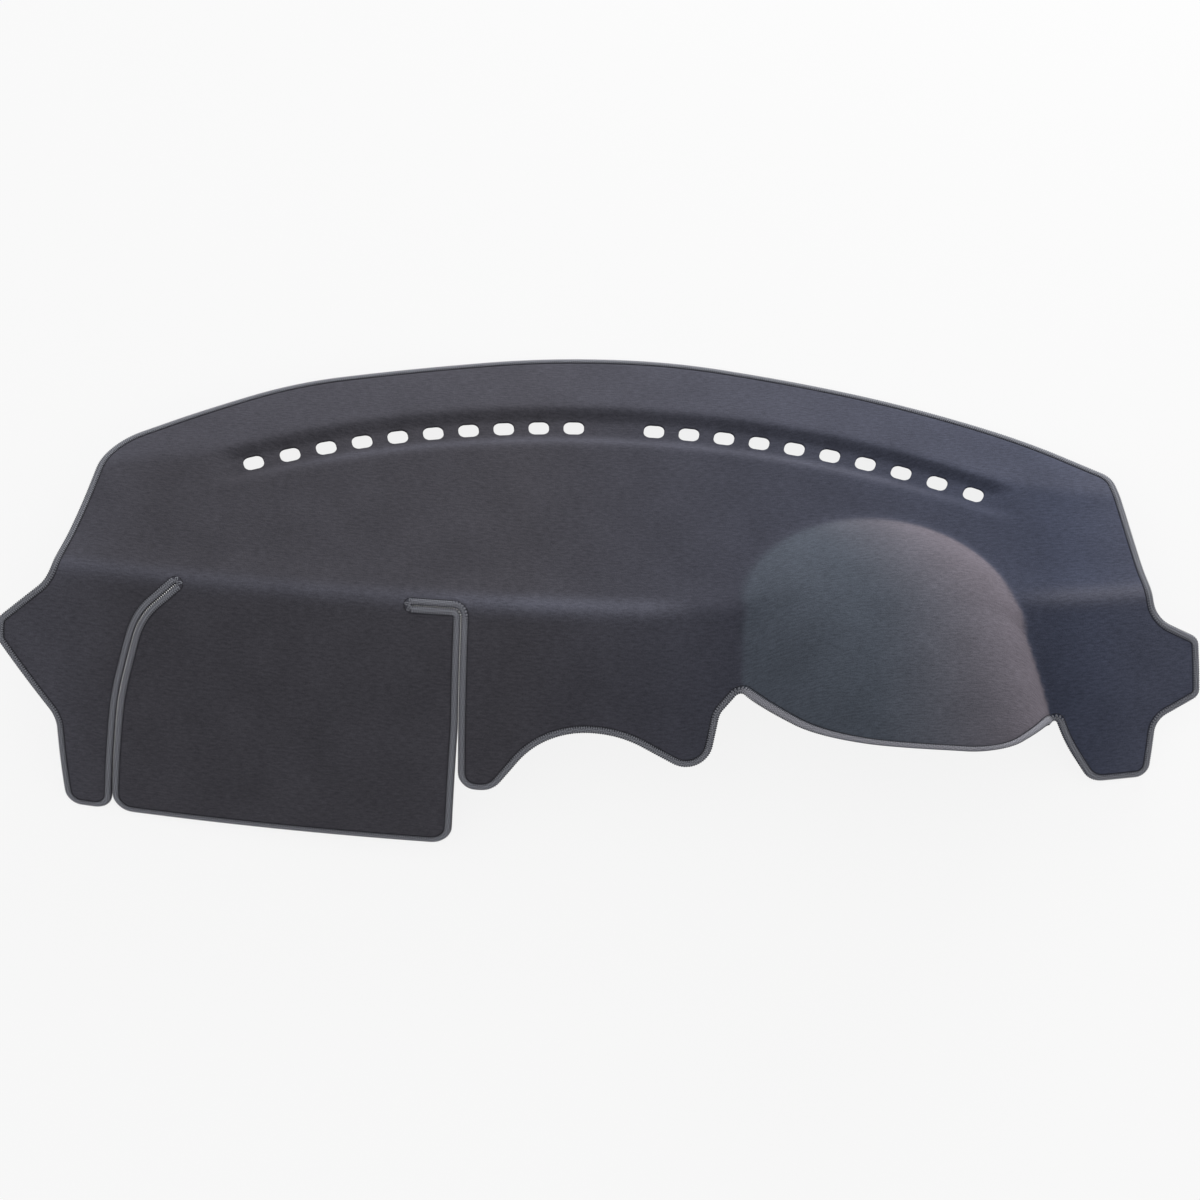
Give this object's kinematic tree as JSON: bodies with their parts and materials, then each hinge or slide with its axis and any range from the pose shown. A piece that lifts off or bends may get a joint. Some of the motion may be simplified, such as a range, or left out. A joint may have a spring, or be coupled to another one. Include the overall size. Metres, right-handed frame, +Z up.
{
  "type": "dashboard cover mat",
  "caption": "Moulded dark grey carpet mat for the top of a dashboard, right-hand drive, with an instrument hood, twenty demister slots, slit face panels and overlocked edges.",
  "frame": {"origin": "centre of the mat's footprint, on the floor that it lies on", "axes": "+X to the driver's side along the width, +Y towards the windscreen edge, +Z up"},
  "size_m": [1.4594, 0.6426, 0.1796],
  "materials": {
    "carpet": "needled polyester carpet, charcoal grey",
    "overlock_thread": "grey polyester overlock thread"
  },
  "bodies": {
    "root": {"carpet_mat": "carpet", "edge_overlock": "overlock_thread"}
  },
  "joints": []
}
